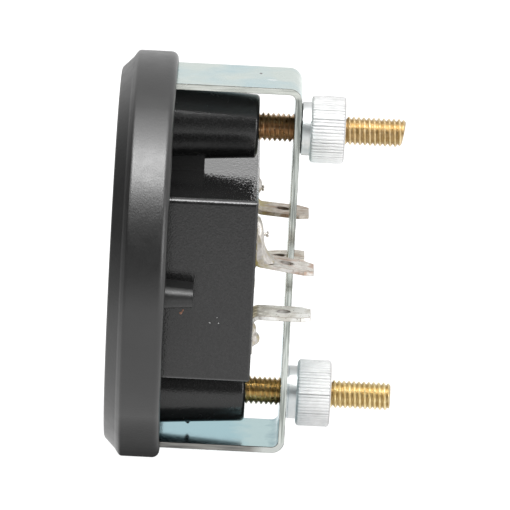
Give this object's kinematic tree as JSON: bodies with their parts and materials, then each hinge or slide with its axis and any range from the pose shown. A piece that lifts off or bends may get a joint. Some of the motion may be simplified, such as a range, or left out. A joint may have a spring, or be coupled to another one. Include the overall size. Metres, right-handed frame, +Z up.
{
  "type": "digital hour meter",
  "caption": "Round digital hour meter: bezel, lens and display, moulded housing with a rear box, spade terminals, threaded studs, and a U bracket with thumb nuts that clamp it in a panel hole.",
  "frame": {"origin": "centre of the bezel's back edge, in the plane that seats on the panel", "axes": "+Y to the rear along the studs, +Z up, +X to the right seen from the front"},
  "size_m": [0.057, 0.0399, 0.057],
  "materials": {
    "bezel_satin": "satin black, fine texture",
    "clear_lens": "clear, polished",
    "dial_black": "matt black",
    "display_grey": "grey-green display",
    "holder_white": "matt white",
    "elastomer": "matt grey",
    "board_green": "green solder mask",
    "chip_black": "matt black moulding",
    "can_metal": "drawn metal can",
    "capacitor_sleeve": "gloss dark blue sleeve",
    "stud_brass": "bright brass, darker near the housing",
    "housing_black": "black moulding, fine texture, slight gloss",
    "terminal_board_tan": "plain laminate",
    "tab_tin": "tin plate, dull, warm tint",
    "solder": "bright solder with flux",
    "bracket_zinc": "bright zinc plate, faint blue tint",
    "nut_metal": "bright, knurled"
  },
  "bodies": {
    "meter": {"bezel_ring": "bezel_satin", "lens": "clear_lens", "dial_plate": "dial_black", "display_glass": "display_grey", "display_holder": "holder_white", "contact_strip_upper": "elastomer", "contact_strip_lower": "elastomer", "main_board": "board_green", "controller_chip": "chip_black", "memory_chip": "chip_black", "quartz_crystal": "can_metal", "filter_capacitor": "capacitor_sleeve", "bridge_rectifier": "chip_black", "link_header": "chip_black", "link_pins": "stud_brass", "housing": "housing_black", "terminal_board": "terminal_board_tan", "tab_upper_left": "tab_tin", "tab_lower_left": "tab_tin", "tab_upper_right": "tab_tin", "tab_lower_right": "tab_tin", "solder_joints": "solder", "stud_upper": "stud_brass", "stud_lower": "stud_brass"},
    "bracket": {"clamp_bracket": "bracket_zinc"},
    "upper_nut": {"thumb_nut_upper": "nut_metal"},
    "lower_nut": {"thumb_nut_lower": "nut_metal"}
  },
  "joints": [
    {"name": "bracket_slide", "type": "slide", "parent": "meter", "child": "bracket", "axis": [0, 1, 0], "range_m": [0, 0.0084]},
    {"name": "upper_nut_turn", "type": "hinge", "parent": "bracket", "child": "upper_nut", "pos_m": [0, 0.0205, 0.01905], "axis": [0, 1, 0], "range_deg": [0, 4320]},
    {"name": "lower_nut_turn", "type": "hinge", "parent": "bracket", "child": "lower_nut", "pos_m": [0, 0.0205, -0.01905], "axis": [0, 1, 0], "range_deg": [0, 4320]}
  ],
  "couplings": [
    {"joint": "upper_nut_turn", "follows": "bracket_slide", "rad_per_m": 8975.9},
    {"joint": "lower_nut_turn", "follows": "bracket_slide", "rad_per_m": 8975.9}
  ]
}
